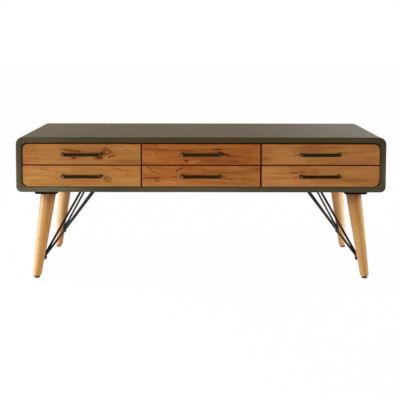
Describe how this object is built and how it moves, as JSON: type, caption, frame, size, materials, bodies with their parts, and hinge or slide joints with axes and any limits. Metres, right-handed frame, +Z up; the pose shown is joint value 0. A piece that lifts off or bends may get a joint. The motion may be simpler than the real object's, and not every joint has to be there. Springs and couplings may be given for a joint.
{
  "type": "storage coffee table",
  "caption": "Low storage table: a round-cornered painted carcass with inset wooden drawers and bar handles, on splayed tapered legs with thin rod braces.",
  "frame": {"origin": "on the floor, under the centre of the whole table with its handles", "axes": "+Z up, +X along the length to the right of the drawers' side, the drawers open towards -Y"},
  "size_m": [1.2, 0.628, 0.468],
  "materials": {
    "grey_green_paint": "satin olive-grey lacquer over board",
    "carcass_core": "dark stained board",
    "back_board": "painted thin board",
    "drawer_front_wood": "oiled fir with knots and fine horizontal grain",
    "drawer_wood": "planed softwood",
    "drawer_plywood": "sanded plywood",
    "leg_wood": "pale oiled wood",
    "black_block": "black paint",
    "black_steel": "satin black powder coat",
    "screw_steel": "zinc plated",
    "glide_plastic": "matt"
  },
  "bodies": {
    "carcass": {"top_panel": "grey_green_paint", "bottom_panel": "grey_green_paint", "end_panel_left": "grey_green_paint", "end_panel_right": "grey_green_paint", "panel_tongues": "drawer_wood", "divider_left": "carcass_core", "divider_right": "carcass_core", "back_panel": "back_board", "back_panel_screws": "screw_steel", "runners_left": "drawer_wood", "runners_middle": "drawer_wood", "runners_right": "drawer_wood", "runner_screws": "screw_steel", "leg_front_left": "leg_wood", "leg_block_front_left": "black_block", "brace_front_left": "black_steel", "leg_front_right": "leg_wood", "leg_block_front_right": "black_block", "brace_front_right": "black_steel", "leg_back_left": "leg_wood", "leg_block_back_left": "black_block", "brace_back_left": "black_steel", "leg_back_right": "leg_wood", "leg_block_back_right": "black_block", "brace_back_right": "black_steel", "leg_bolts": "screw_steel", "leg_block_screws": "screw_steel", "brace_screws": "black_steel", "foot_glides": "glide_plastic"},
    "drawer_lower_left": {"drawer_lower_left_front": "drawer_front_wood", "drawer_lower_left_box": "drawer_wood", "drawer_lower_left_bottom": "drawer_plywood", "drawer_lower_left_handle": "black_steel", "drawer_lower_left_handle_screws": "screw_steel"},
    "drawer_lower_middle": {"drawer_lower_middle_front": "drawer_front_wood", "drawer_lower_middle_box": "drawer_wood", "drawer_lower_middle_bottom": "drawer_plywood", "drawer_lower_middle_handle": "black_steel", "drawer_lower_middle_handle_screws": "screw_steel"},
    "drawer_lower_right": {"drawer_lower_right_front": "drawer_front_wood", "drawer_lower_right_box": "drawer_wood", "drawer_lower_right_bottom": "drawer_plywood", "drawer_lower_right_handle": "black_steel", "drawer_lower_right_handle_screws": "screw_steel"},
    "drawer_upper_left": {"drawer_upper_left_front": "drawer_front_wood", "drawer_upper_left_box": "drawer_wood", "drawer_upper_left_bottom": "drawer_plywood", "drawer_upper_left_handle": "black_steel", "drawer_upper_left_handle_screws": "screw_steel"},
    "drawer_upper_middle": {"drawer_upper_middle_front": "drawer_front_wood", "drawer_upper_middle_box": "drawer_wood", "drawer_upper_middle_bottom": "drawer_plywood", "drawer_upper_middle_handle": "black_steel", "drawer_upper_middle_handle_screws": "screw_steel"},
    "drawer_upper_right": {"drawer_upper_right_front": "drawer_front_wood", "drawer_upper_right_box": "drawer_wood", "drawer_upper_right_bottom": "drawer_plywood", "drawer_upper_right_handle": "black_steel", "drawer_upper_right_handle_screws": "screw_steel"}
  },
  "joints": [
    {"name": "drawer_lower_left_slide", "type": "slide", "parent": "carcass", "child": "drawer_lower_left", "axis": [0, -1, 0], "range_m": [0, 0.38]},
    {"name": "drawer_lower_middle_slide", "type": "slide", "parent": "carcass", "child": "drawer_lower_middle", "axis": [0, -1, 0], "range_m": [0, 0.38]},
    {"name": "drawer_lower_right_slide", "type": "slide", "parent": "carcass", "child": "drawer_lower_right", "axis": [0, -1, 0], "range_m": [0, 0.38]},
    {"name": "drawer_upper_left_slide", "type": "slide", "parent": "carcass", "child": "drawer_upper_left", "axis": [0, -1, 0], "range_m": [0, 0.38]},
    {"name": "drawer_upper_middle_slide", "type": "slide", "parent": "carcass", "child": "drawer_upper_middle", "axis": [0, -1, 0], "range_m": [0, 0.38]},
    {"name": "drawer_upper_right_slide", "type": "slide", "parent": "carcass", "child": "drawer_upper_right", "axis": [0, -1, 0], "range_m": [0, 0.38]}
  ]
}
